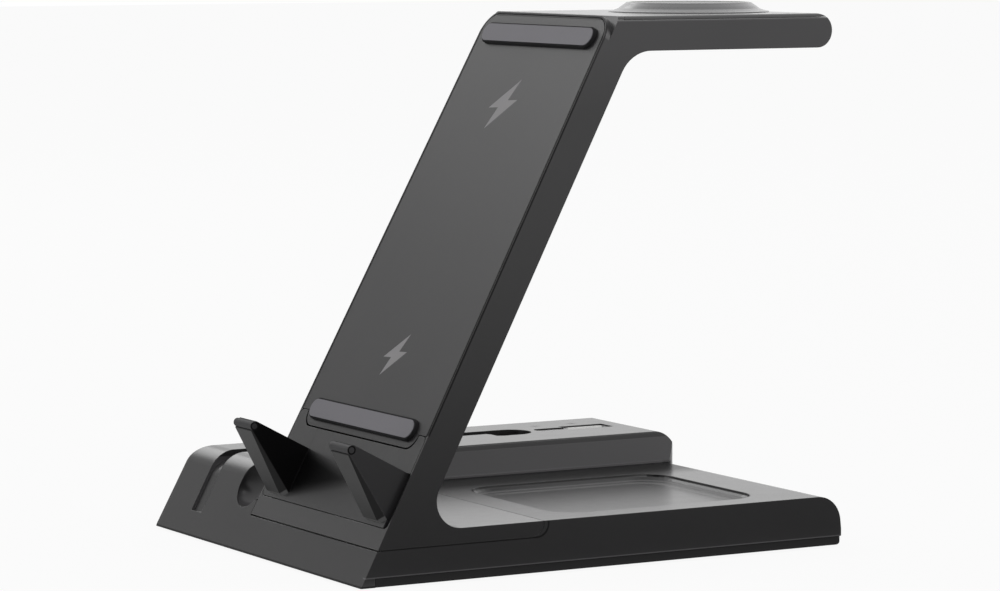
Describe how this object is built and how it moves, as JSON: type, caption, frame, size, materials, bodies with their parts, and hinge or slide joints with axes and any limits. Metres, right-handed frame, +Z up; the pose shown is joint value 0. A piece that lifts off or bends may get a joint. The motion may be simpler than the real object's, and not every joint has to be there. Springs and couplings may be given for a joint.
{
  "type": "wireless charging stand",
  "caption": "Desktop wireless charging stand with a leaning phone column, a rear arm with a watch puck, an earbud tray and a raised ridge with a stylus channel and outlets.",
  "frame": {"origin": "middle of the stand's bounding box on the surface it stands on, under the feet", "axes": "+Z up; the phone faces -Y and the arm points to +Y; the raised ridge is on the -X side"},
  "size_m": [0.121, 0.1472, 0.1448],
  "materials": {
    "charcoal_plastic": "fine matte texture",
    "dark_plastic": "matte",
    "panel_plastic": "fine matte texture",
    "pad_silicone": "soft matte",
    "mark_ink": "flat print",
    "foot_rubber": "matte",
    "rod_rubber": "matte",
    "screw_steel": "plated",
    "ballast_steel": "plain",
    "frame_plastic": "plain",
    "coil_copper": "wound wire",
    "ferrite": "plain",
    "ribbon_film": "film",
    "puck_plastic": "satin",
    "face_plastic": "soft satin",
    "board": "solder mask",
    "port_steel": "plated"
  },
  "bodies": {
    "root": {"base_shell": "charcoal_plastic", "base_cover": "dark_plastic", "rubber_feet": "foot_rubber", "cover_screws": "screw_steel", "ballast_plate": "ballast_steel", "column_shell": "charcoal_plastic", "foot_screws": "screw_steel", "arm_cover": "charcoal_plastic", "front_panel": "panel_plastic", "upper_pad": "pad_silicone", "lower_pad": "pad_silicone", "charge_marks": "mark_ink", "phone_holder": "charcoal_plastic", "fin_rods": "rod_rubber", "coil_frame": "frame_plastic", "upper_phone_coil": "coil_copper", "lower_phone_coil": "coil_copper", "phone_ferrites": "ferrite", "column_ribbon": "ribbon_film", "watch_puck": "puck_plastic", "watch_face": "face_plastic", "watch_coil": "coil_copper", "earbud_coil": "coil_copper", "earbud_ferrite": "ferrite", "main_board": "board", "usb_a_port": "port_steel", "usb_c_port": "port_steel", "power_inlet": "port_steel"}
  },
  "joints": []
}
